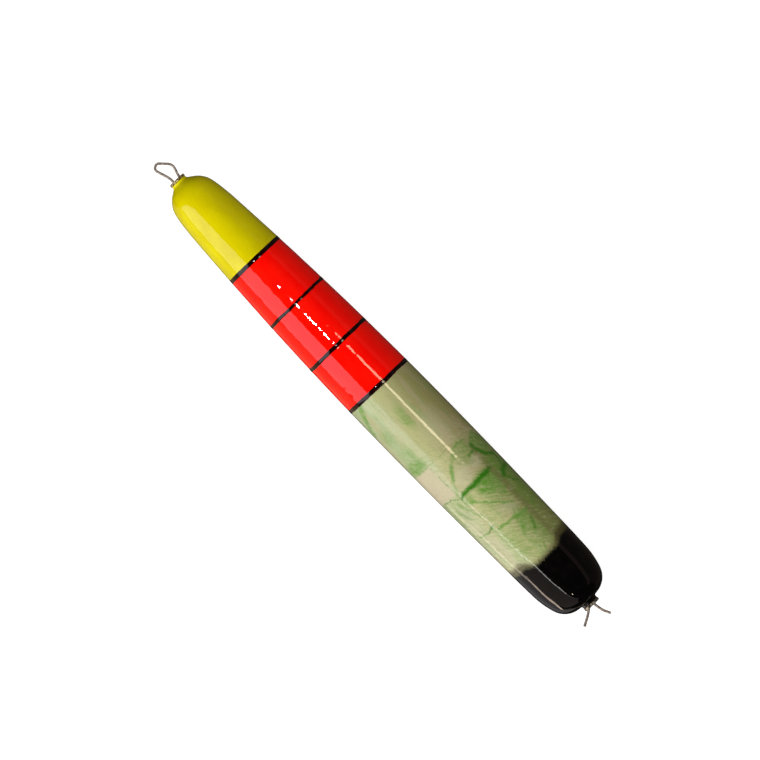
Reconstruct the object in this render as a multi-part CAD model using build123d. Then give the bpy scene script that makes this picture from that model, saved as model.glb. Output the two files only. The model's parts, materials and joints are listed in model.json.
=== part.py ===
from build123d import *
import math
import os

# A through-line fishing float lying on its side. Millimetres.
# +X runs along the bore towards the yellow tip, +Z is up, and the origin is on the surface that the
# widest part of the body rests on, midway between the two ends of the wire.

# Places along the float: the tip eyelet's outer face and the butt eyelet's outer face.
TIP_X = 88.9
LENGTH = 180.0
BUTT_X = TIP_X - LENGTH

# The lacquered body is a long barrel. Each side of its widest station is a chain of tangent arcs,
# written as (radius, slope in degrees where the arc ends), then a cone and a hollow fillet to the neck.
WIDEST_X = -14.6
WIDEST_R = 11.87
TIP_ARCS = [(1270.0, 3.99), (60.0, 10.85), (8.29, 55.0)]
TIP_FILLET = 0.8
BUTT_ARCS = [(2575.0, 1.374), (28.44, 17.6), (7.04, 84.0)]
BUTT_FILLET = 0.5
NECK_R = 2.7

# Thickness of each coat, from the outside inwards. The rings are painted on top of the colours.
CLEAR = 0.25
RING = 0.1
COLOUR = 0.15
PRIMER = 0.1

# Distances from the tip face to the colour changes, and (start, width) of each painted ring.
YELLOW_END = 33.9
RED_END = 87.2
MARBLE_END = 160.4
RINGS = [(33.3, 1.3), (51.6, 0.95), (69.2, 1.2), (86.6, 1.35)]

# Wood stops this far short of each outer face, where the tube comes through it.
CORE_SETBACK = 1.9

# Tube that lines the bore, and the two eyelets that line its ends.
TUBE_OUTER_R = 2.3
TUBE_INNER_R = 2.0
EYELET_BORE_R = 1.7
EYELET_DEPTH = 6.0
FLANGE_R = 2.8
FLANGE_T = 0.9
FLANGE_EDGE_R = 0.2

# Folded steel wire. Its route is in the XY plane through the bore, written as
# (distance outside an eyelet's face, sideways distance, bend radius), bend radius 0 at a cut end.
WIRE_R = 0.4
WIRE_LEFT_END = [(5.6, -2.3, 0), (3.2, -1.1, 8.0), (0.4, -0.6, 12.0)]
WIRE_LOOP = [(0.3, -1.2, 6.0), (4.15, -2.45, 2.4), (7.75, 1.0, 1.0), (6.7, 2.75, 1.1), (1.7, 1.2, 6.0)]
WIRE_RIGHT_END = [(-0.25, 1.2, 1.6), (1.2, 3.25, 10.0), (2.9, 6.3, 0)]

AXIS_Z = WIDEST_R
BORE_AXIS = Axis((0, 0, AXIS_Z), (1, 0, 0))


def side_points(arcs, fillet):
    """Points of one side of the outline: (distance from the widest station, radius, slope)."""
    distance = 0.0
    radius = WIDEST_R
    slope = 0.0
    points = [(distance, radius, slope)]
    for arc_radius, end_degrees in arcs:
        end = math.radians(end_degrees)
        for angle in ((slope + end) / 2, end):
            along = arc_radius * (math.sin(angle) - math.sin(slope))
            fall = arc_radius * (math.cos(slope) - math.cos(angle))
            points.append((distance + along, radius - fall, angle))
        distance, radius, slope = points[-1]
    foot_radius = NECK_R + fillet * (1 - math.cos(slope))
    foot = distance + (radius - foot_radius) / math.tan(slope)
    points.append((foot, foot_radius, slope))
    for angle in (slope / 2, 0.0):
        along = fillet * (math.sin(slope) - math.sin(angle))
        points.append((foot + along, NECK_R + fillet * (1 - math.cos(angle)), angle))
    return points


def side_edges(arcs, fillet, end_distance, direction, inset):
    """Edges of one side of the outline, moved inwards by inset along its normals."""
    places = []
    for distance, radius, slope in side_points(arcs, fillet):
        along = distance - inset * math.sin(slope)
        places.append((WIDEST_X + direction * along, AXIS_Z + radius - inset * math.cos(slope)))
    edges = []
    for start in range(0, 2 * len(arcs), 2):
        edges.append(ThreePointArc(*places[start:start + 3]))
    edges.append(Line(places[-4], places[-3]))
    edges.append(ThreePointArc(*places[-3:]))
    neck_end = (WIDEST_X + direction * end_distance, places[-1][1])
    edges.append(Line(places[-1], neck_end))
    return edges, neck_end


def barrel(inset):
    """Solid of the body's outline moved inwards by inset, from flange to flange."""
    tip_length = TIP_X - FLANGE_T - WIDEST_X
    butt_length = WIDEST_X - BUTT_X - FLANGE_T
    tip_edges, tip_end = side_edges(TIP_ARCS, TIP_FILLET, tip_length, 1, inset)
    butt_edges, butt_end = side_edges(BUTT_ARCS, BUTT_FILLET, butt_length, -1, inset)
    ends = [
        Line(tip_end, (tip_end[0], AXIS_Z)),
        Line((tip_end[0], AXIS_Z), (butt_end[0], AXIS_Z)),
        Line((butt_end[0], AXIS_Z), butt_end),
    ]
    outline = make_face(Wire(tip_edges + ends + butt_edges))
    upright = Plane.XZ * outline
    return revolve(upright, BORE_AXIS)


def slab(start, end):
    """A cylinder wider than the float, between two distances from the tip face."""
    places = Plane((TIP_X - start, 0, AXIS_Z), z_dir=(-1, 0, 0))
    return places * Cylinder(2 * WIDEST_R, end - start, align=(Align.CENTER, Align.CENTER, Align.MIN))


def rod(radius, start, end):
    """A cylinder on the bore's axis, between two distances from the tip face."""
    places = Plane((TIP_X - start, 0, AXIS_Z), z_dir=(-1, 0, 0))
    return places * Cylinder(radius, end - start, align=(Align.CENTER, Align.CENTER, Align.MIN))


def eyelet(face_x, outward):
    """Rolled eyelet: a barrel in the tube, and a flange with a rounded rim and a flared mouth."""
    under = face_x - outward * FLANGE_T
    inner_end = under - outward * EYELET_DEPTH
    edge = FLANGE_EDGE_R
    mouth = Vector(under, AXIS_Z + EYELET_BORE_R + FLANGE_T)
    rim_low = Vector(under + outward * edge, AXIS_Z + FLANGE_R - edge)
    rim_high = Vector(face_x - outward * edge, AXIS_Z + FLANGE_R - edge)
    half = math.sqrt(0.5)
    outline = Wire([
        Line((inner_end, AXIS_Z + EYELET_BORE_R), (under, AXIS_Z + EYELET_BORE_R)),
        ThreePointArc(
            (under, AXIS_Z + EYELET_BORE_R),
            mouth + Vector(outward * half, -half) * FLANGE_T,
            mouth + Vector(outward * FLANGE_T, 0),
        ),
        ThreePointArc(
            rim_high + Vector(outward * edge, 0),
            rim_high + Vector(outward * half, half) * edge,
            rim_high + Vector(0, edge),
        ),
        Line(rim_high + Vector(0, edge), rim_low + Vector(0, edge)),
        ThreePointArc(
            rim_low + Vector(0, edge),
            rim_low + Vector(-outward * half, half) * edge,
            rim_low + Vector(-outward * edge, 0),
        ),
        Line(rim_low + Vector(-outward * edge, 0), (under, AXIS_Z + TUBE_INNER_R)),
        Line((under, AXIS_Z + TUBE_INNER_R), (inner_end, AXIS_Z + TUBE_INNER_R)),
        Line((inner_end, AXIS_Z + TUBE_INNER_R), (inner_end, AXIS_Z + EYELET_BORE_R)),
    ])
    upright = Plane.XZ * make_face(outline)
    return revolve(upright, BORE_AXIS)


def threading_wire():
    """One wire: from a cut end up the bore, round the loop, and back down to the other end."""
    route = [(BUTT_X - out, side, bend) for out, side, bend in WIRE_LEFT_END]
    route += [(TIP_X + out, side, bend) for out, side, bend in WIRE_LOOP]
    route += [(BUTT_X - out, side, bend) for out, side, bend in WIRE_RIGHT_END]
    points = [(x, y, AXIS_Z) for x, y, bend in route]
    bends = [bend for x, y, bend in route[1:-1]]
    path = FilletPolyline(*points, radius=bends)
    section = Plane(path @ 0, z_dir=path % 0) * Circle(WIRE_R)
    wire = sweep(section, path=path)
    print("wire", round(path.length, 1), "long, volume", round(wire.volume, 1),
          "expected", round(path.length * math.pi * WIRE_R ** 2, 1))
    return wire


def main():
    nodes = {}
    under_clear = barrel(CLEAR)
    under_ring_tops = barrel(CLEAR - RING)
    tube_hole = rod(TUBE_OUTER_R, 0, LENGTH)
    wood_span = slab(CORE_SETBACK, LENGTH - CORE_SETBACK)
    primed = barrel(CLEAR + COLOUR) & wood_span
    core = barrel(CLEAR + COLOUR + PRIMER) & wood_span

    nodes["body_core"] = core - tube_hole
    nodes["primer_coat"] = primed - core - tube_hole
    nodes["liner_tube"] = rod(TUBE_OUTER_R, FLANGE_T, LENGTH - FLANGE_T) - rod(TUBE_INNER_R, 0, LENGTH)
    nodes["tip_eyelet"] = eyelet(TIP_X, 1)
    nodes["butt_eyelet"] = eyelet(BUTT_X, -1)
    nodes["threading_wire"] = threading_wire()

    colours = under_clear - primed - tube_hole
    nodes["yellow_tip_coat"] = colours & slab(0, YELLOW_END)
    nodes["red_band_coat"] = colours & slab(YELLOW_END, RED_END)
    nodes["marble_coat"] = colours & slab(RED_END, MARBLE_END)
    nodes["black_butt_coat"] = colours & slab(MARBLE_END, LENGTH)

    lacquer = barrel(0) - under_clear
    for number, (start, width) in enumerate(RINGS, 1):
        ring = (under_ring_tops - under_clear) & slab(start, start + width)
        nodes[f"black_ring_{number}"] = ring
        lacquer -= ring
    nodes["clear_coat"] = lacquer

    os.makedirs("parts", exist_ok=True)
    for name, shape in nodes.items():
        export_step(shape, f"parts/{name}.step")
        print(name, len(shape.solids()), round(shape.volume, 1))


main()
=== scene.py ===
import json
import math

import bpy
import numpy as np
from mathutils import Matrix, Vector, noise
from mathutils.bvhtree import BVHTree


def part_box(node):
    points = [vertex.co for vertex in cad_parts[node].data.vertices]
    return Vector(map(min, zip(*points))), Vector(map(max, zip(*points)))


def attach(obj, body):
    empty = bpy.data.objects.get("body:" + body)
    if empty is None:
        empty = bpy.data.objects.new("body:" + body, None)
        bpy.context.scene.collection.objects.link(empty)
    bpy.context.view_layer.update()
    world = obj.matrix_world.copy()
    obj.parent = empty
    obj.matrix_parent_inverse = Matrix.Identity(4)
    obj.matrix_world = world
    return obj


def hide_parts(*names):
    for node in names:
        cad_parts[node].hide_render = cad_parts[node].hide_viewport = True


# A lacquered through-line float on a pale sheet, seen from straight above. Metres.
# The painted skins and rings are built round the CAD lacquer's own outline and take the place of the coats.

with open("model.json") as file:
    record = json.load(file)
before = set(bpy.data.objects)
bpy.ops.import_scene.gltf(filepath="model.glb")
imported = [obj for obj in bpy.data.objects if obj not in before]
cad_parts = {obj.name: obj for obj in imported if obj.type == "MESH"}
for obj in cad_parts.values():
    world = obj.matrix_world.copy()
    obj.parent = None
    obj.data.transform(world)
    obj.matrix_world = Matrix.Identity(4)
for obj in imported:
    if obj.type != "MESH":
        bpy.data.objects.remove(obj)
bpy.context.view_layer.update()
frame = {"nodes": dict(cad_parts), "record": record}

MM = 0.001
TIP_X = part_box("tip_eyelet")[1].x
AXIS_Z = frame["record"]["behaviour"]["joints"][0]["pos_m"][2]
BODY_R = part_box("clear_coat")[1].z - AXIS_Z
FLANGE_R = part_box("tip_eyelet")[1].z - AXIS_Z

# Meshes: corners round the body, spacing of the rows along it, and how the skins lie in the lacquer.
AROUND = 144
ANGLES = np.arange(AROUND) * 2 * math.pi / AROUND
ROW_SPACING = 0.4 * MM
FINE_SPACING = 0.15 * MM
SKIN_THICKNESS = 0.3 * MM
SKIN_INSET = 0.035 * MM
SHARP_RIM = math.radians(50)
CURVE_SAMPLES = 9001
LEAST_GAP = 0.1 * MM
OUTWARD_STEP = 0.05 * MM

# Rings: how far the paint runs past its CAD ring at each side, and in mm the height of its crown
# above its feet and the depth of its feet in the skin.
RING_SPREAD = 0.10 * MM
RING_CROWN = 0.045
RING_FOOT = 0.010
RING_STEPS = 10

# The lacquer's waves: heights and wavelengths in mm. They are low on the marbling and grow towards
# the tip, from x = CALM_END over a length of CALM_FADE, both in mm.
SLOW_WAVE = 0.014
SLOW_GROWTH = 0.008
SLOW_LENGTHS = (11, 13, 13)
QUICK_WAVE = 0.006
QUICK_GROWTH = 0.021
QUICK_LENGTHS = (2.1, 4.5, 4.5)
QUICK_SHIFT = Vector((40, 0, 0))
CALM_END = -3
CALM_FADE = 20

# Light and camera.
FLOOR_HALF = 3.0
FLOOR_GLOW = 0.85
SHEET_DISTANCE = 1.2
SHEET_STEPS = 10
WORLD_GLOW = 0.02
VIEW_WIDTH = 229.8 * MM
VIEW_MIDDLE = (2.53 * MM, -1.62 * MM)
VIEW_TURN = math.radians(-134.37)


# ---------------------------------------------------------------- outline of the lacquered body

def outline_points():
    """(x, radius) of the lacquer's outer surface, from the corners of its CAD mesh, tip to butt."""
    mesh = frame["nodes"]["clear_coat"].data
    corners = [v.co.copy() for v in mesh.vertices]
    tree = BVHTree.FromPolygons(corners, [tuple(p.vertices) for p in mesh.polygons])
    places = {}
    for corner in corners:
        radial = Vector((0, corner.y, corner.z - AXIS_Z))
        key = (round(corner.x, 6), round(radial.length, 6))
        places.setdefault(key, (corner, radial.normalized(), radial.length))
    outside = []
    for corner, outward, radius in places.values():
        if tree.ray_cast(corner + outward * OUTWARD_STEP, outward)[0] is None:
            outside.append((corner.x, radius))
    # from the tip to the butt, with the tip's end read outwards and the butt's end inwards
    outside.sort(key=lambda place: (-place[0], place[1] if place[0] > 0 else -place[1]))
    kept = [outside[0]]
    for place in outside[1:]:
        if math.dist(place, kept[-1]) > LEAST_GAP:
            kept.append(place)
    return np.array(kept)


def natural_spline(knots, values, at):
    """Smooth curve through values at knots, read at the given places."""
    gap = np.diff(knots)
    count = len(knots)
    system = np.eye(count)
    right = np.zeros(count)
    for i in range(1, count - 1):
        system[i, i - 1:i + 2] = gap[i - 1], 2 * (gap[i - 1] + gap[i]), gap[i]
        right[i] = 6 * ((values[i + 1] - values[i]) / gap[i] - (values[i] - values[i - 1]) / gap[i - 1])
    bend = np.linalg.solve(system, right)
    span = np.clip(np.searchsorted(knots, at, side="right") - 1, 0, count - 2)
    after = at - knots[span]
    before = knots[span + 1] - at
    width = gap[span]
    cubic = (bend[span] * before ** 3 + bend[span + 1] * after ** 3) / (6 * width)
    low = (values[span] / width - bend[span] * width / 6) * before
    high = (values[span + 1] / width - bend[span + 1] * width / 6) * after
    return cubic + low + high


POINTS = outline_points()
KNOTS = np.concatenate([[0], np.cumsum(np.hypot(*np.diff(POINTS, axis=0).T))])
ALONG = np.linspace(0, KNOTS[-1], CURVE_SAMPLES)
OUT_X = natural_spline(KNOTS, POINTS[:, 0], ALONG)
OUT_R = natural_spline(KNOTS, POINTS[:, 1], ALONG)
SLOPE_X = np.gradient(OUT_X, ALONG)
SLOPE_R = np.gradient(OUT_R, ALONG)


def along_at(distance_mm):
    """Distance along the outline of the place that many mm behind the tip eyelet's face."""
    return np.interp(-(TIP_X - distance_mm * MM), -OUT_X, ALONG)


def lacquer_wave(x, y, z):
    """How far the hand-laid lacquer stands above or below its true surface there."""
    place = Vector((x, y, z)) / MM
    slow = noise.noise(Vector(c / length for c, length in zip(place, SLOW_LENGTHS)))
    quick = noise.noise(Vector(c / length for c, length in zip(place, QUICK_LENGTHS)) + QUICK_SHIFT)
    growth = min(max((place.x - CALM_END) / CALM_FADE, 0.0), 1.0)
    slow_height = (SLOW_WAVE + SLOW_GROWTH * growth) * slow
    quick_height = (QUICK_WAVE + QUICK_GROWTH * growth) * quick
    return (slow_height + quick_height) * MM


def surface_row(along, lift):
    """One ring of points, at a distance along the outline for each angle, lifted off the surface."""
    x = np.interp(along, ALONG, OUT_X)
    radius = np.interp(along, ALONG, OUT_R)
    slope_x = np.interp(along, ALONG, SLOPE_X)
    slope_r = np.interp(along, ALONG, SLOPE_R)
    # the outline runs from the tip to the butt, so this direction points out of the body
    normal_x = slope_r / np.hypot(slope_x, slope_r)
    normal_r = -slope_x / np.hypot(slope_x, slope_r)
    row = []
    for i, angle in enumerate(ANGLES):
        y = radius[i] * math.sin(angle)
        z = AXIS_Z + radius[i] * math.cos(angle)
        height = lift + lacquer_wave(x[i], y, z)
        reach = radius[i] + height * normal_r[i]
        along_x = x[i] + height * normal_x[i]
        row.append((along_x, reach * math.sin(angle), AXIS_Z + reach * math.cos(angle)))
    return row


def band_mesh(name, start, end, lifts, under):
    """Closed band round the body. start and end are distances along the outline, one for each angle.
    lifts are heights above the surface from start to end, and under is the inner side's height."""
    outer_count = len(lifts) - 1
    inner_count = max(2, len(lifts) // 4)
    rows = [surface_row(start + (end - start) * i / outer_count, lift) for i, lift in enumerate(lifts)]
    for i in range(inner_count, -1, -1):
        rows.append(surface_row(start + (end - start) * i / inner_count, under))
    points = [place for row in rows for place in row]
    faces = []
    for i in range(len(rows)):
        below = i * AROUND
        above = (i + 1) % len(rows) * AROUND
        for j in range(AROUND):
            k = (j + 1) % AROUND
            faces.append((below + j, below + k, above + k, above + j))
    mesh = bpy.data.meshes.new(name)
    mesh.from_pydata(points, [], faces)
    mesh.update()
    mesh.shade_smooth()
    mesh.set_sharp_from_angle(angle=SHARP_RIM)
    obj = bpy.data.objects.new(name, mesh)
    bpy.context.scene.collection.objects.link(obj)
    return obj


def wobble(size_mm, seed):
    """Small uneven shift of a hand-painted edge, in metres, for each angle."""
    shift = [noise.noise(Vector((2.2 * math.sin(a), 2.2 * math.cos(a), seed))) for a in ANGLES]
    fine = [noise.noise(Vector((9 * math.sin(a), 9 * math.cos(a), seed + 5))) for a in ANGLES]
    return size_mm * MM * (np.array(shift) + 0.35 * np.array(fine))


def skin(name, start_mm, end_mm, node):
    """A painted and lacquered length of the body, from one distance behind the tip to another."""
    start = np.full(AROUND, along_at(start_mm))
    end = np.full(AROUND, along_at(end_mm))
    domed = node in ("yellow_tip_coat", "black_butt_coat")
    spacing = FINE_SPACING if domed else ROW_SPACING
    rows = max(2, round((end[0] - start[0]) / spacing))
    obj = band_mesh(name, start, end, [-SKIN_INSET] * (rows + 1), -SKIN_INSET - SKIN_THICKNESS)
    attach(obj, "float_body")
    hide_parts(node, "clear_coat")
    return obj


def distance_of(x):
    """Distance in mm behind the tip eyelet's face."""
    return (TIP_X - x) / MM


def node_span(node):
    """Distances in mm behind the tip eyelet's face at which a node starts and ends."""
    low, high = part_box(node)
    return distance_of(high.x), distance_of(low.x)


def ring(number, unevenness, tilt_mm):
    """A ring painted over the colours: a shallow ridge under the lacquer, a little tilted and uneven."""
    node = f"black_ring_{number}"
    start_mm, end_mm = node_span(node)
    tilt = tilt_mm * MM * np.sin(ANGLES)
    start = along_at(start_mm) - RING_SPREAD + tilt + wobble(unevenness, 10.0 * number)
    end = along_at(end_mm) + RING_SPREAD + tilt + wobble(unevenness, 10.0 * number + 3)
    crown = [1 - abs(2 * i / RING_STEPS - 1) ** 3 for i in range(RING_STEPS + 1)]
    lifts = [-SKIN_INSET + (RING_CROWN * c - RING_FOOT) * MM for c in crown]
    obj = band_mesh(node + "_paint", start, end, lifts, -SKIN_INSET - SKIN_THICKNESS / 2)
    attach(obj, "float_body")
    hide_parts(node, "clear_coat")
    return obj


# ---------------------------------------------------------------- materials

def linear(red, green, blue):
    """Linear colour of a screen colour given as 0 to 255."""
    parts = [c / 255 for c in (red, green, blue)]
    return tuple(p / 12.92 if p <= 0.04045 else ((p + 0.055) / 1.055) ** 2.4 for p in parts) + (1.0,)


class Graph:
    """A material's nodes. Each method adds a node and returns its output."""

    def __init__(self, name):
        self.material = bpy.data.materials.new(name)
        self.material.use_nodes = True
        self.tree = self.material.node_tree
        self.shader = self.tree.nodes["Principled BSDF"]

    def add(self, kind, inputs, output=0, **settings):
        node = self.tree.nodes.new(kind)
        for key, value in settings.items():
            setattr(node, key, value)
        for key, value in inputs.items():
            self.put(node.inputs[key], value)
        return node.outputs[output]

    def put(self, socket, value):
        if isinstance(value, bpy.types.NodeSocket):
            self.tree.links.new(value, socket)
        else:
            socket.default_value = value

    def math(self, operation, *values, clamp=False):
        inputs = dict(enumerate(values))
        return self.add("ShaderNodeMath", inputs, operation=operation, use_clamp=clamp)

    def vector(self, operation, *values, output=0):
        inputs = dict(enumerate(values))
        return self.add("ShaderNodeVectorMath", inputs, output, operation=operation)

    def mix(self, factor, first, second):
        """Colour that goes from first to second as factor goes from 0 to 1."""
        node = self.tree.nodes.new("ShaderNodeMix")
        node.data_type = "RGBA"
        self.put(node.inputs[0], factor)
        self.put(node.inputs[6], first)
        self.put(node.inputs[7], second)
        return node.outputs[2]

    def fade(self, value, low, high, out_low=0.0, out_high=1.0):
        """Smooth step of value from low to high."""
        inputs = {0: value, 1: low, 2: high, 3: out_low, 4: out_high}
        return self.add("ShaderNodeMapRange", inputs, interpolation_type="SMOOTHSTEP")

    def noise(self, vector, scale, detail=2.0, roughness=0.5, distortion=0.0):
        inputs = {"Vector": vector, "Scale": scale, "Detail": detail, "Roughness": roughness,
                  "Distortion": distortion}
        return self.add("ShaderNodeTexNoise", inputs)

    def place(self, stretch=(1.0, 1.0, 1.0)):
        """Place on the object in mm, from the bore's axis, stretched along each direction."""
        spot = self.add("ShaderNodeTexCoord", {}, "Object")
        about = self.vector("SUBTRACT", spot, (0, 0, AXIS_Z))
        return self.vector("MULTIPLY", about, tuple(s / MM for s in stretch))

    def unrolled(self):
        """(mm behind the tip face, mm round the body from the top towards the lit side)."""
        spot = self.place()
        parts = self.tree.nodes.new("ShaderNodeSeparateXYZ")
        self.put(parts.inputs[0], spot)
        behind = self.math("SUBTRACT", TIP_X / MM, parts.outputs[0])
        angle = self.math("ARCTAN2", parts.outputs[1], parts.outputs[2])
        return behind, self.math("MULTIPLY", angle, BODY_R / MM)

    def lacquered(self, colour):
        """Paint under a thick clear lacquer: a slightly soft base under a sharp coat with faint peel."""
        peel = self.noise(self.place(), 0.9, 2.0)
        bump = self.add("ShaderNodeBump", {"Height": peel, "Strength": 0.02, "Distance": 0.5 * MM})
        self.put(self.shader.inputs["Base Color"], colour)
        self.put(self.shader.inputs["Roughness"], 0.45)
        self.put(self.shader.inputs["Specular IOR Level"], 0.0)
        self.put(self.shader.inputs["Coat Weight"], 1.0)
        self.put(self.shader.inputs["Coat Roughness"], 0.025)
        self.put(self.shader.inputs["Coat IOR"], 1.5)
        self.put(self.shader.inputs["Coat Normal"], bump)
        return self.material


def plain_paint(name, deep, light, specks):
    """Sprayed paint: slow change of depth, fine mottling and a few dark specks."""
    g = Graph(name)
    slow = g.noise(g.place((0.6, 1.0, 1.0)), 0.16, 3.0)
    fine = g.noise(g.place(), 2.6, 3.0, 0.6)
    depth = g.math("ADD", g.math("MULTIPLY", slow, 0.75), g.math("MULTIPLY", fine, 0.25))
    colour = g.mix(g.fade(depth, 0.36, 0.64), deep, light)
    dust = g.fade(g.noise(g.place(), 1.7, 0.0), 0.80, 0.84)
    colour = g.mix(g.math("MULTIPLY", dust, 0.35), colour, specks)
    return g.lacquered(colour)


def ring_paint():
    """Black-brown brushed paint, a little thinner in places."""
    g = Graph("ring_black")
    strokes = g.noise(g.place((3.0, 0.5, 0.5)), 0.9, 3.0)
    colour = g.mix(g.fade(strokes, 0.4, 0.75), linear(10, 2, 3), linear(38, 5, 5))
    return g.lacquered(colour)


def butt_paint():
    """Black paint with faint warm clouds."""
    g = Graph("butt_black")
    cloud = g.noise(g.place(), 0.35, 3.0)
    colour = g.mix(g.fade(cloud, 0.35, 0.75), linear(2, 2, 2), linear(7, 5, 5))
    return g.lacquered(colour)


# Features of the marbling on the unrolled body, in mm behind the tip face and mm round from the top.
# A stroke is (places it runs through, half width, strength). A cloud is (middle, half size, turn in
# degrees, soft share of its size, strength).
DARK_STROKES = [
    ([(128.4, -6.8), (128.7, 0.0), (128.4, 4.3)], 1.20, 1.0),
    ([(128.3, 4.0), (129.4, 6.6)], 0.55, 0.9),
    ([(129.0, 6.6), (127.4, 9.4), (127.1, 14.0)], 0.28, 0.7),
    ([(119.6, -8.2), (121.6, -8.4), (124.4, -10.2), (126.4, -13.4)], 1.00, 0.95),
    ([(120.9, -8.0), (121.3, -5.0)], 0.60, 0.7),
    ([(125.6, -13.8), (130.4, -12.8)], 1.10, 0.6),
    ([(130.6, -14.4), (131.4, -10.6), (133.0, -9.4)], 1.30, 0.95),
    ([(133.0, -9.4), (135.8, -11.0), (137.0, -13.4)], 0.60, 0.6),
    ([(141.6, 5.6), (142.2, 7.6)], 0.65, 0.7),
    ([(147.4, -6.0), (150.8, -4.2)], 0.75, 0.6),
    ([(136.6, 13.6), (131.6, 14.2)], 0.45, 0.6),
]
SOFT_STROKES = [
    ([(116.9, -13.6), (117.4, -10.4), (119.2, -8.4)], 0.50, 0.35),
    ([(116.8, -7.8), (116.1, -5.4), (116.6, -2.4), (118.6, -0.9)], 0.70, 0.55),
    ([(121.4, -1.0), (123.4, -3.6), (123.6, -5.2)], 0.50, 0.30),
    ([(118.0, -1.0), (120.4, 1.6)], 0.90, 0.45),
    ([(120.4, 1.6), (123.4, 4.0)], 1.05, 0.75),
    ([(123.4, 4.0), (127.6, 6.2)], 0.75, 0.40),
    ([(139.0, -3.2), (136.6, -0.6), (134.6, 1.6)], 0.55, 0.9),
    ([(134.6, 1.6), (132.0, 4.6)], 0.50, 0.65),
    ([(140.2, -5.0), (138.4, -2.0)], 0.45, 0.7),
    ([(144.9, -6.6), (144.2, -2.0)], 0.95, 0.8),
    ([(144.2, -2.0), (143.4, 4.2)], 0.60, 0.9),
    ([(142.2, 7.6), (141.5, 12.8)], 0.40, 0.75),
    ([(115.4, -8.4), (115.2, 14.0)], 0.22, 0.45),
    ([(116.0, 6.4), (128.0, 6.6), (138.0, 6.2)], 0.25, 0.45),
    ([(146.4, -2.6), (149.6, -0.6)], 0.75, 0.55),
    ([(155.8, -2.8), (157.6, -2.2)], 0.45, 0.6),
    ([(142.2, -3.4), (145.0, -2.0)], 0.50, 0.55),
    ([(87.6, 9.2), (92.0, 12.2), (97.0, 15.0)], 1.40, 0.75),
    ([(129.6, 8.6), (133.6, 7.2), (137.0, 5.6)], 0.80, 0.4),
    ([(131.0, 11.6), (136.0, 8.8)], 0.80, 0.4),
]
GREEN_CLOUDS = [
    ((120.8, -12.0), (4.6, 3.8), 0, 0.3, 0.85),
    ((127.8, -11.4), (4.4, 4.4), 0, 0.5, 0.75),
    ((133.6, -12.6), (3.8, 3.6), 0, 0.4, 0.70),
    ((131.2, -3.4), (4.4, 4.8), -25, 0.4, 1.00),
    ((134.8, -5.2), (4.0, 2.0), 0, 0.6, 0.65),
    ((119.4, -4.6), (4.0, 4.2), 0, 0.4, 0.50),
    ((113.0, 11.2), (2.6, 5.6), 0, 0.6, 0.80),
    ((99.6, 1.0), (5.0, 1.8), 0, 0.7, 0.60),
    ((101.0, 11.0), (3.4, 3.2), 0, 0.8, 0.45),
    ((147.6, -3.4), (5.4, 3.4), 0, 0.6, 0.70),
    ((152.0, -4.6), (6.4, 3.4), 0, 0.7, 0.60),
    ((151.0, 1.4), (8.0, 4.4), 0, 0.8, 0.55),
    ((140.0, -11.4), (8.0, 4.4), 0, 0.6, 0.55),
    ((136.6, -1.6), (7.0, 6.0), 0, 0.9, 0.40),
    ((131.0, 4.4), (2.4, 2.0), 0, 0.8, 0.70),
    ((108.0, 9.8), (3.0, 4.0), 0, 0.9, 0.30),
    ((154.6, 0.6), (5.4, 6.6), 0, 0.8, 0.50),
    ((147.6, 3.0), (6.0, 3.4), 0, 0.9, 0.40),
]
CREAM_CLOUDS = [
    ((123.8, -5.4), (2.2, 2.2), 0, 0.5, 0.65),
    ((124.6, 1.2), (3.6, 4.6), 25, 0.6, 0.55),
    ((108.0, -4.4), (7.0, 4.4), 0, 0.8, 0.40),
    ((140.6, -2.6), (2.0, 3.6), -30, 0.6, 0.45),
    ((150.0, 9.4), (9.0, 2.6), 0, 0.7, 0.75),
    ((137.0, 10.8), (6.6, 3.8), 0, 0.7, 0.50),
    ((156.0, 9.4), (2.6, 6.0), 0, 0.8, 0.60),
]
CREAM_BLOCK = ((121.2, 11.6), (5.8, 5.2))


def stroke_mask(g, spot, strokes):
    """Ragged brush strokes through the listed places, the strongest one winning."""
    ragged = g.noise(g.place(), 1.5, 5.0, 0.75)
    ragged = g.math("MULTIPLY", g.math("SUBTRACT", ragged, 0.47), 1.7)
    mask = None
    for places, width, strength in strokes:
        for start, end in zip(places, places[1:]):
            run = (end[0] - start[0], end[1] - start[1], 0)
            away = g.vector("SUBTRACT", spot, (*start, 0))
            along = g.vector("DOT_PRODUCT", away, run, output="Value")
            share = g.math("DIVIDE", along, run[0] ** 2 + run[1] ** 2, clamp=True)
            nearest = g.add("ShaderNodeVectorMath", {0: run, "Scale": share}, operation="SCALE")
            gap = g.math("ADD", g.vector("DISTANCE", away, nearest, output="Value"), ragged)
            line = g.fade(gap, width * 0.2, width * 1.2, strength, 0.0)
            mask = line if mask is None else g.math("MAXIMUM", mask, line)
    return mask


def cloud_mask(g, spot, clouds):
    """Soft oval patches, the strongest one winning."""
    mask = None
    for middle, half, turn, soft, strength in clouds:
        away = g.vector("SUBTRACT", spot, (*middle, 0))
        if turn:
            inputs = {"Vector": away, "Angle": math.radians(turn)}
            away = g.add("ShaderNodeVectorRotate", inputs, rotation_type="Z_AXIS")
        reach = g.vector("LENGTH", g.vector("DIVIDE", away, (*half, 1)), output="Value")
        patch = g.fade(reach, 1 - soft, 1 + soft * 0.5, strength, 0.0)
        mask = patch if mask is None else g.math("MAXIMUM", mask, patch)
    return mask


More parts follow.
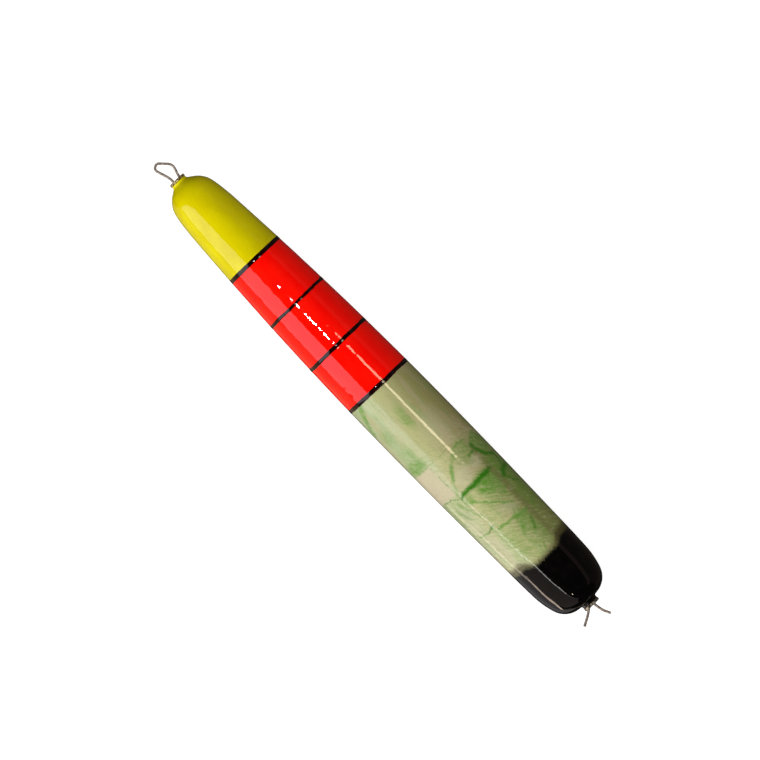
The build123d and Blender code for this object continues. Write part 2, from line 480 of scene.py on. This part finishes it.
def block_mask(g, spot, middle, half, soft):
    """A patch with straight sides."""
    away = g.vector("ABSOLUTE", g.vector("SUBTRACT", spot, (*middle, 0)))
    gap = g.vector("SUBTRACT", away, (*half, 0))
    parts = g.tree.nodes.new("ShaderNodeSeparateXYZ")
    g.put(parts.inputs[0], gap)
    return g.fade(g.math("MAXIMUM", parts.outputs[0], parts.outputs[1]), -soft, soft, 1.0, 0.0)


def brush_hairs(g, spot, turn):
    """Fine uneven lines left by a brush, running at an angle to the bore."""
    inputs = {"Vector": spot, "Angle": math.radians(turn)}
    turned = g.add("ShaderNodeVectorRotate", inputs, rotation_type="Z_AXIS")
    return g.noise(g.vector("MULTIPLY", turned, (0.13, 1.0, 1.0)), 1.8, 4.0, 0.65, 0.3)


def chance_marbling(g, colour, round_way, behind):
    """The sides away from the listed features carry the same kind of marbling, laid by chance."""
    cells = g.noise(g.place((0.7, 1.0, 1.0)), 0.13, 4.0, 0.55, 1.2)
    hidden = g.fade(g.math("ABSOLUTE", round_way), 14.0, 19.0)
    where = g.math("MULTIPLY", hidden, g.fade(behind, 110.0, 118.0))
    green = g.math("MULTIPLY", where, g.fade(cells, 0.50, 0.60, 0.0, 0.7))
    colour = g.mix(green, colour, linear(104, 138, 74))
    edge = g.fade(g.math("ABSOLUTE", g.math("SUBTRACT", cells, 0.50)), 0.004, 0.018, 0.75, 0.0)
    return g.mix(g.math("MULTIPLY", where, edge), colour, linear(62, 116, 42))


def marble_ground(g, behind, round_way):
    """Khaki ground, olive on one side and sage on the other, creamier beyond the first third, with painted
    shade that darkens the -Y side, away from the side lamp, from the first third on.
    """
    olive, khaki, sage = linear(152, 146, 92), linear(168, 166, 118), linear(160, 170, 130)
    drift = g.noise(g.place((0.22, 1.0, 1.0)), 0.35, 4.0, 0.6, 0.4)
    across = g.math("ADD", round_way, g.math("MULTIPLY", g.math("SUBTRACT", drift, 0.5), 9.0))
    colour = g.mix(g.fade(across, -10.0, 2.0), olive, khaki)
    colour = g.mix(g.fade(across, 2.0, 9.0), colour, sage)
    tint = g.noise(g.place((0.16, 1.0, 1.0)), 0.62, 4.0, 0.6, 0.5)
    colour = g.mix(g.fade(tint, 0.50, 0.68, 0.0, 0.55), colour, linear(128, 152, 92))
    warm = g.noise(g.place((0.3, 1.0, 1.0)), 0.21, 3.0, 0.5, 0.6)
    colour = g.mix(g.fade(warm, 0.48, 0.66, 0.0, 0.45), colour, linear(178, 158, 124))
    colour = g.mix(g.fade(behind, 113.5, 116.5, 0.0, 0.18), colour, linear(186, 176, 134))
    # painted shade: the -Y side, away from the side lamp, is mixed towards a dark olive beyond the first
    # third
    painted_shade = g.math("MULTIPLY", g.fade(round_way, -11.0, 0.0, 0.75, 0.0), g.fade(behind, 114.0, 132.0))
    return g.mix(painted_shade, colour, linear(112, 122, 56))


def black_mist(g, colour, behind, round_way, black_from):
    """Black sprayed on from the butt, brown and speckled where it thins out."""
    mist = g.math("SUBTRACT", g.noise(g.place(), 1.2, 6.0, 0.85), 0.5)
    lean = g.fade(g.math("ABSOLUTE", g.math("ADD", round_way, 0.6)), 4.4, 9.2, 0.0, 1.6)
    reach = g.math("ADD", g.math("ADD", behind, lean), g.math("MULTIPLY", mist, 3.0))
    spread = g.fade(g.math("ABSOLUTE", round_way), 3.0, 9.0, 0.0, 1.4)
    near = g.math("ADD", reach, spread)
    brown = g.fade(near, black_from - 3.4, black_from - 0.8)
    colour = g.mix(g.math("MULTIPLY", brown, 0.8), colour, linear(56, 46, 26))
    return g.mix(g.fade(reach, black_from - 1.9, black_from - 0.4), colour, linear(3, 3, 3))


def marble_paint(black_from):
    """Hand-marbled khaki, cream and green under lacquer, sprayed black towards the butt."""
    g = Graph("marble")
    behind, round_way = g.unrolled()
    drift = g.math("SUBTRACT", g.noise(g.place(), 0.33, 3.0), 0.5)
    shake = g.math("SUBTRACT", g.noise(g.place(), 1.3, 4.0, 0.6), 0.5)
    shift = g.math("ADD", g.math("MULTIPLY", drift, 1.0), g.math("MULTIPLY", shake, 0.5))
    shifted = g.math("ADD", behind, shift)
    turned = g.math("ADD", round_way, g.math("MULTIPLY", g.math("ADD", drift, shake), 1.3))
    spot = g.add("ShaderNodeCombineXYZ", {0: shifted, 1: turned})

    colour = marble_ground(g, behind, round_way)
    colour = chance_marbling(g, colour, round_way, behind)
    slant = brush_hairs(g, spot, 56)
    blotch = g.noise(g.place(), 0.9, 5.0, 0.7)
    patchy = g.fade(blotch, 0.32, 0.58, 0.55, 1.0)
    hairy = g.fade(slant, 0.42, 0.60, 1.0, 0.66)
    cream = g.math("MULTIPLY", cloud_mask(g, spot, CREAM_CLOUDS), hairy)
    colour = g.mix(cream, colour, linear(184, 175, 146))
    brushed = g.math("MULTIPLY", g.fade(behind, 104.0, 120.0, 0.15, 1.0),
                     g.fade(g.math("ABSOLUTE", round_way), 30.0, 36.0, 1.0, 0.0))
    light_hairs = g.math("MULTIPLY", g.fade(slant, 0.50, 0.64, 0.0, 0.30), brushed)
    colour = g.mix(light_hairs, colour, linear(202, 198, 156))
    green_hairs = g.math("MULTIPLY", g.fade(slant, 0.36, 0.48, 0.26, 0.0), brushed)
    colour = g.mix(green_hairs, colour, linear(96, 130, 60))
    colour = g.mix(block_mask(g, spot, *CREAM_BLOCK, 0.35), colour, linear(184, 175, 146))
    green = g.math("MULTIPLY", g.math("MULTIPLY", cloud_mask(g, spot, GREEN_CLOUDS), patchy), hairy)
    colour = g.mix(green, colour, linear(88, 136, 46))
    soft = g.math("MULTIPLY", stroke_mask(g, spot, SOFT_STROKES), patchy)
    colour = g.mix(soft, colour, linear(80, 134, 44))
    dark = g.math("MULTIPLY", stroke_mask(g, spot, DARK_STROKES), g.fade(blotch, 0.3, 0.55, 0.75, 1.0))
    colour = g.mix(dark, colour, linear(46, 110, 16))

    band = g.fade(g.math("ABSOLUTE", g.math("ADD", turned, 7.6)), 0.4, 1.6, 1.0, 0.0)
    band = g.math("MULTIPLY", band, g.fade(behind, 112.0, 130.0, 0.0, 0.35))
    colour = g.mix(band, colour, linear(86, 80, 42))
    mottle = g.noise(g.place(), 2.8, 4.0, 0.65)
    colour = g.mix(g.fade(mottle, 0.45, 0.70, 0.0, 0.22), colour, linear(96, 104, 60))
    return g.lacquered(black_mist(g, colour, behind, round_way, black_from))


def steel_wire():
    """Drawn steel wire with drawing lines and dull spots. Its light tan grey is the steel's grey with a
    painted reflection of warm surroundings, shown through a low metallic value.
    """
    g = Graph("wire_steel")
    drawn = g.noise(g.place((0.15, 1.0, 1.0)), 9.0, 2.0)
    dull = g.noise(g.place(), 1.3, 3.0, 0.6)
    # painted reflection: the light tan grey stands in for the warm surroundings that the steel reflects; the
    # darker dull spots are the wire's own
    colour = g.mix(g.fade(dull, 0.4, 0.65), linear(176, 162, 150), linear(126, 110, 98))
    g.put(g.shader.inputs["Base Color"], colour)
    g.put(g.shader.inputs["Metallic"], 0.55)
    g.put(g.shader.inputs["Roughness"], g.fade(dull, 0.35, 0.7, 0.30, 0.5))
    bump = g.add("ShaderNodeBump", {"Height": drawn, "Strength": 0.25, "Distance": 0.02 * MM})
    g.put(g.shader.inputs["Normal"], bump)
    return g.material


def eyelet_metal(name, lacquer, bare):
    """Dark lacquered eyelet, rubbed to bare metal in spots round its rim and mouth; these light spots are
    partly real wear and partly painted glints.
    """
    g = Graph(name)
    parts = g.tree.nodes.new("ShaderNodeSeparateXYZ")
    g.put(parts.inputs[0], g.place())
    radius = g.math("SQRT", g.math("ADD", g.math("POWER", parts.outputs[1], 2.0),
                                   g.math("POWER", parts.outputs[2], 2.0)))
    rim = g.fade(radius, FLANGE_R / MM - 0.5, FLANGE_R / MM - 0.05)
    spots = g.fade(g.noise(g.place(), 1.4, 4.0, 0.7), 0.46, 0.62)
    # wear and painted glints: light bare-metal spots, most of them round the flange's rim, partly rubbed
    # lacquer and partly painted glints
    wear_and_glints = g.math("MULTIPLY", g.math("ADD", rim, 0.25), spots, clamp=True)
    g.put(g.shader.inputs["Base Color"], g.mix(wear_and_glints, lacquer, bare))
    g.put(g.shader.inputs["Metallic"], 0.6)
    g.put(g.shader.inputs["Roughness"], g.fade(wear_and_glints, 0.0, 1.0, 0.42, 0.26))
    pits = g.noise(g.place(), 5.0, 3.0)
    bump = g.add("ShaderNodeBump", {"Height": pits, "Strength": 0.2, "Distance": 0.03 * MM})
    g.put(g.shader.inputs["Normal"], bump)
    return g.material


def balsa_wood():
    """Pale wood with its grain along the bore."""
    g = Graph("balsa")
    grain = g.noise(g.place((0.05, 1.0, 1.0)), 1.4, 4.0)
    g.put(g.shader.inputs["Base Color"], g.mix(grain, linear(222, 196, 150), linear(188, 152, 104)))
    g.put(g.shader.inputs["Roughness"], 0.75)
    return g.material


def plain_plastic(name, light, dark, roughness):
    """Even plastic or primer with slow clouds of a second tone."""
    g = Graph(name)
    cloud = g.noise(g.place(), 0.5, 3.0)
    g.put(g.shader.inputs["Base Color"], g.mix(cloud, light, dark))
    g.put(g.shader.inputs["Roughness"], roughness)
    return g.material


def floor_material():
    """Pale translucent sheet, lit from below as well, so that shadows on it are faint."""
    g = Graph("floor_pale")
    cloud = g.noise(g.place(), 0.01, 3.0)
    g.put(g.shader.inputs["Base Color"], g.mix(cloud, linear(150, 150, 149), linear(156, 156, 155)))
    g.put(g.shader.inputs["Roughness"], 0.9)
    g.put(g.shader.inputs["Specular IOR Level"], 0.1)
    g.put(g.shader.inputs["Emission Color"], (1.0, 1.0, 1.0, 1.0))
    g.put(g.shader.inputs["Emission Strength"], FLOOR_GLOW)
    return g.material


def glowing(name, colour, radiance):
    """Black material that gives off light, for the reflector sheets."""
    g = Graph(name)
    g.put(g.shader.inputs["Base Color"], (0, 0, 0, 1))
    g.put(g.shader.inputs["Specular IOR Level"], 0.0)
    g.put(g.shader.inputs["Emission Color"], (*colour, 1.0))
    g.put(g.shader.inputs["Emission Strength"], radiance)
    return g.material


def give(obj, material):
    obj.data.materials.clear()
    obj.data.materials.append(material)


# ---------------------------------------------------------------- pieces

def build_body():
    """The four painted lengths of the body and the four rings."""
    yellow_end = node_span("yellow_tip_coat")[1]
    red_end = node_span("red_band_coat")[1]
    marble_end = node_span("marble_coat")[1]
    neck_start = distance_of(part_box("clear_coat")[1].x)
    neck_end = distance_of(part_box("clear_coat")[0].x)
    yellow = skin("yellow_tip", neck_start, yellow_end, "yellow_tip_coat")
    give(yellow, plain_paint("yellow", linear(198, 183, 0), linear(207, 194, 0), linear(130, 118, 0)))
    red = skin("red_band", yellow_end, red_end, "red_band_coat")
    give(red, plain_paint("red", linear(253, 6, 0), linear(255, 16, 3), linear(150, 4, 2)))
    marble = skin("marbled_body", red_end, marble_end, "marble_coat")
    give(marble, marble_paint(marble_end))
    butt = skin("black_butt", marble_end, neck_end, "black_butt_coat")
    give(butt, butt_paint())
    black = ring_paint()
    hand_painted = [(0.10, -0.12), (0.34, 0.0), (0.24, 0.0), (0.22, -0.18)]
    for number, (unevenness, tilt_mm) in enumerate(hand_painted, 1):
        give(ring(number, unevenness, tilt_mm), black)


def dress_cad_nodes():
    """Materials for the pieces that keep their CAD meshes."""
    nodes = frame["nodes"]
    give(nodes["threading_wire"], steel_wire())
    give(nodes["tip_eyelet"], eyelet_metal("tip_brass", linear(84, 70, 36), linear(200, 178, 120)))
    give(nodes["butt_eyelet"], eyelet_metal("butt_dark_metal", linear(48, 38, 26), linear(206, 190, 168)))
    give(nodes["body_core"], balsa_wood())
    give(nodes["liner_tube"], plain_plastic("tube", linear(228, 228, 218), linear(214, 214, 202), 0.4))
    give(nodes["primer_coat"], plain_plastic("primer", linear(240, 238, 230), linear(230, 228, 218), 0.7))


# ---------------------------------------------------------------- floor, light and camera

def make_floor():
    """A large sheet under the float. The lacquer shows the reflector sheets instead of it."""
    half = FLOOR_HALF
    corners = [(-half, -half, 0), (half, -half, 0), (half, half, 0), (-half, half, 0)]
    mesh = bpy.data.meshes.new("floor")
    mesh.from_pydata(corners, [], [(0, 1, 2, 3)])
    floor = bpy.data.objects.new("floor", mesh)
    bpy.context.scene.collection.objects.link(floor)
    floor.visible_glossy = False
    floor.visible_diffuse = False
    give(floor, floor_material())


def around_float(x, degrees, distance):
    """A place that far from the bore's axis, in a direction measured from straight up towards +Y."""
    angle = math.radians(degrees)
    return Vector((x, distance * math.sin(angle), AXIS_Z + distance * math.cos(angle)))


def soft_light(name, degrees, x, distance, width, height, strength):
    """A large lamp that shades the paint. strength is the light it gives to a surface that faces it."""
    light = bpy.data.lights.new(name, "AREA")
    light.shape = "RECTANGLE"
    light.size = width
    light.size_y = height
    light.energy = strength * math.pi ** 2 * distance ** 2
    obj = bpy.data.objects.new(name, light)
    bpy.context.scene.collection.objects.link(obj)
    obj.location = around_float(x, degrees, distance)
    obj.rotation_mode = "QUATERNION"
    obj.rotation_quaternion = (obj.location - Vector((0, 0, AXIS_Z))).to_track_quat("Z", "Y")
    obj.visible_camera = False
    obj.visible_glossy = False


def reflector(name, stations, radiance, colour=(1.0, 1.0, 1.0)):
    """A bright curved sheet round the float that only the gloss shows. Each station is a place along X
    in metres and the two edges there, in degrees from straight up towards +Y."""
    points = []
    for x, low, high in stations:
        for i in range(SHEET_STEPS + 1):
            points.append(around_float(x, low + (high - low) * i / SHEET_STEPS, SHEET_DISTANCE))
    faces = []
    for station in range(len(stations) - 1):
        for i in range(SHEET_STEPS):
            corner = station * (SHEET_STEPS + 1) + i
            faces.append((corner, corner + 1, corner + SHEET_STEPS + 2, corner + SHEET_STEPS + 1))
    mesh = bpy.data.meshes.new(name)
    mesh.from_pydata(points, [], faces)
    sheet = bpy.data.objects.new(name, mesh)
    bpy.context.scene.collection.objects.link(sheet)
    sheet.visible_camera = False
    sheet.visible_diffuse = False
    sheet.visible_transmission = False
    sheet.visible_shadow = False
    give(sheet, glowing(name, colour, radiance))


def make_lights():
    """Soft lamps for the paint, and the sheets that the lacquer reflects."""
    soft_light("overhead", 5, 0, 1.6, 2.6, 2.6, 0.78)
    soft_light("side", 64, 0.05, 1.1, 0.8, 1.1, 1.45)
    soft_light("back_fill", -42, 0, 1.4, 1.6, 1.0, 0.40)
    reflector("softbox", [(0.66, 68, 79), (0.60, 52, 82), (0.47, 33, 83), (0.213, 31.5, 84), (0.10, 36, 87),
                          (0.032, 38.5, 89), (0.004, 39.5, 73), (-0.051, 42.5, 62), (-0.085, 53, 59)], 1.8,
              (0.95, 0.93, 1.0))
    reflector("tube", [(-0.06, 53.5, 54.5), (-0.107, 51.5, 54.5), (-0.128, 45.3, 48.3), (-0.158, 41, 44),
                       (-0.48, 38.8, 41.8), (-0.75, 40, 42)], 6.0, (1.0, 0.98, 0.95))
    reflector("tube_far", [(-0.75, 40, 42), (-2.6, 42, 44)], 1.0)
    reflector("dim_panel", [(-0.09, 60, 95), (-0.107, 54.5, 95), (-0.128, 48.3, 95), (-0.158, 44, 95),
                            (-0.48, 41.8, 98), (-1.1, 42, 110), (-4.0, 42, 125)], 0.32, (1.0, 0.87, 0.78))
    reflector("low_edge", [(-0.095, 107, 114), (-0.149, 92, 103)], 3.4, (1.0, 0.84, 0.70))
    reflector("butt_edge", [(-0.149, 92, 103), (-0.3, 94, 105), (-0.5, 99, 111), (-0.9, 122, 136)], 6.0,
              (1.0, 0.80, 0.64))
    reflector("low_glow", [(-0.070, 116, 130), (-0.10, 108, 138), (-0.128, 106, 116)], 1.5, (1.0, 0.92, 0.6))
    reflector("low_sheet", [(-0.09, 116, 150), (-0.149, 101, 150), (-0.5, 109, 150), (-1.4, 134, 160)],
              0.40, (1.0, 0.95, 0.95))
    reflector("table", [(0.70, 85, 150), (-0.06, 90, 150)], 0.48, (1.0, 0.76, 0.50))
    reflector("wall_edge", [(1.3, -53, -66), (-1.6, -53, -66)], 0.16, (1.0, 0.70, 0.60))
    reflector("wall", [(1.3, -66, -150), (-1.6, -66, -150)], 0.06, (1.0, 0.80, 0.65))
    reflector("lamp", [(0.134, 4.0, 8.6), (0.108, 4.0, 8.6)], 110.0, (0.93, 0.88, 1.0))
    reflector("warm_lamp", [(0.088, -22, -16), (-0.060, -22.5, -15)], 10.0, (1.0, 0.84, 0.58))
    reflector("far_lamp", [(-0.94, 25, 28), (-1.05, 25, 28)], 26.0, (1.0, 0.85, 0.6))
    world = bpy.data.worlds.new("studio")
    world.use_nodes = True
    background = world.node_tree.nodes["Background"]
    background.inputs["Color"].default_value = (1.0, 0.85, 0.75, 1)
    background.inputs["Strength"].default_value = WORLD_GLOW
    bpy.context.scene.world = world


def make_camera():
    """Looks straight down, turned so that the float lies from the upper left to the lower right."""
    camera = bpy.data.cameras.new("camera")
    camera.lens = 400
    camera.sensor_width = 36
    obj = bpy.data.objects.new("camera", camera)
    bpy.context.scene.collection.objects.link(obj)
    distance = VIEW_WIDTH * camera.lens / camera.sensor_width
    obj.location = (*VIEW_MIDDLE, AXIS_Z + distance)
    obj.rotation_euler = (0, 0, VIEW_TURN)
    bpy.context.scene.camera = obj


build_body()
dress_cad_nodes()
make_floor()
make_lights()
make_camera()
bpy.context.scene.view_settings.view_transform = "Standard"
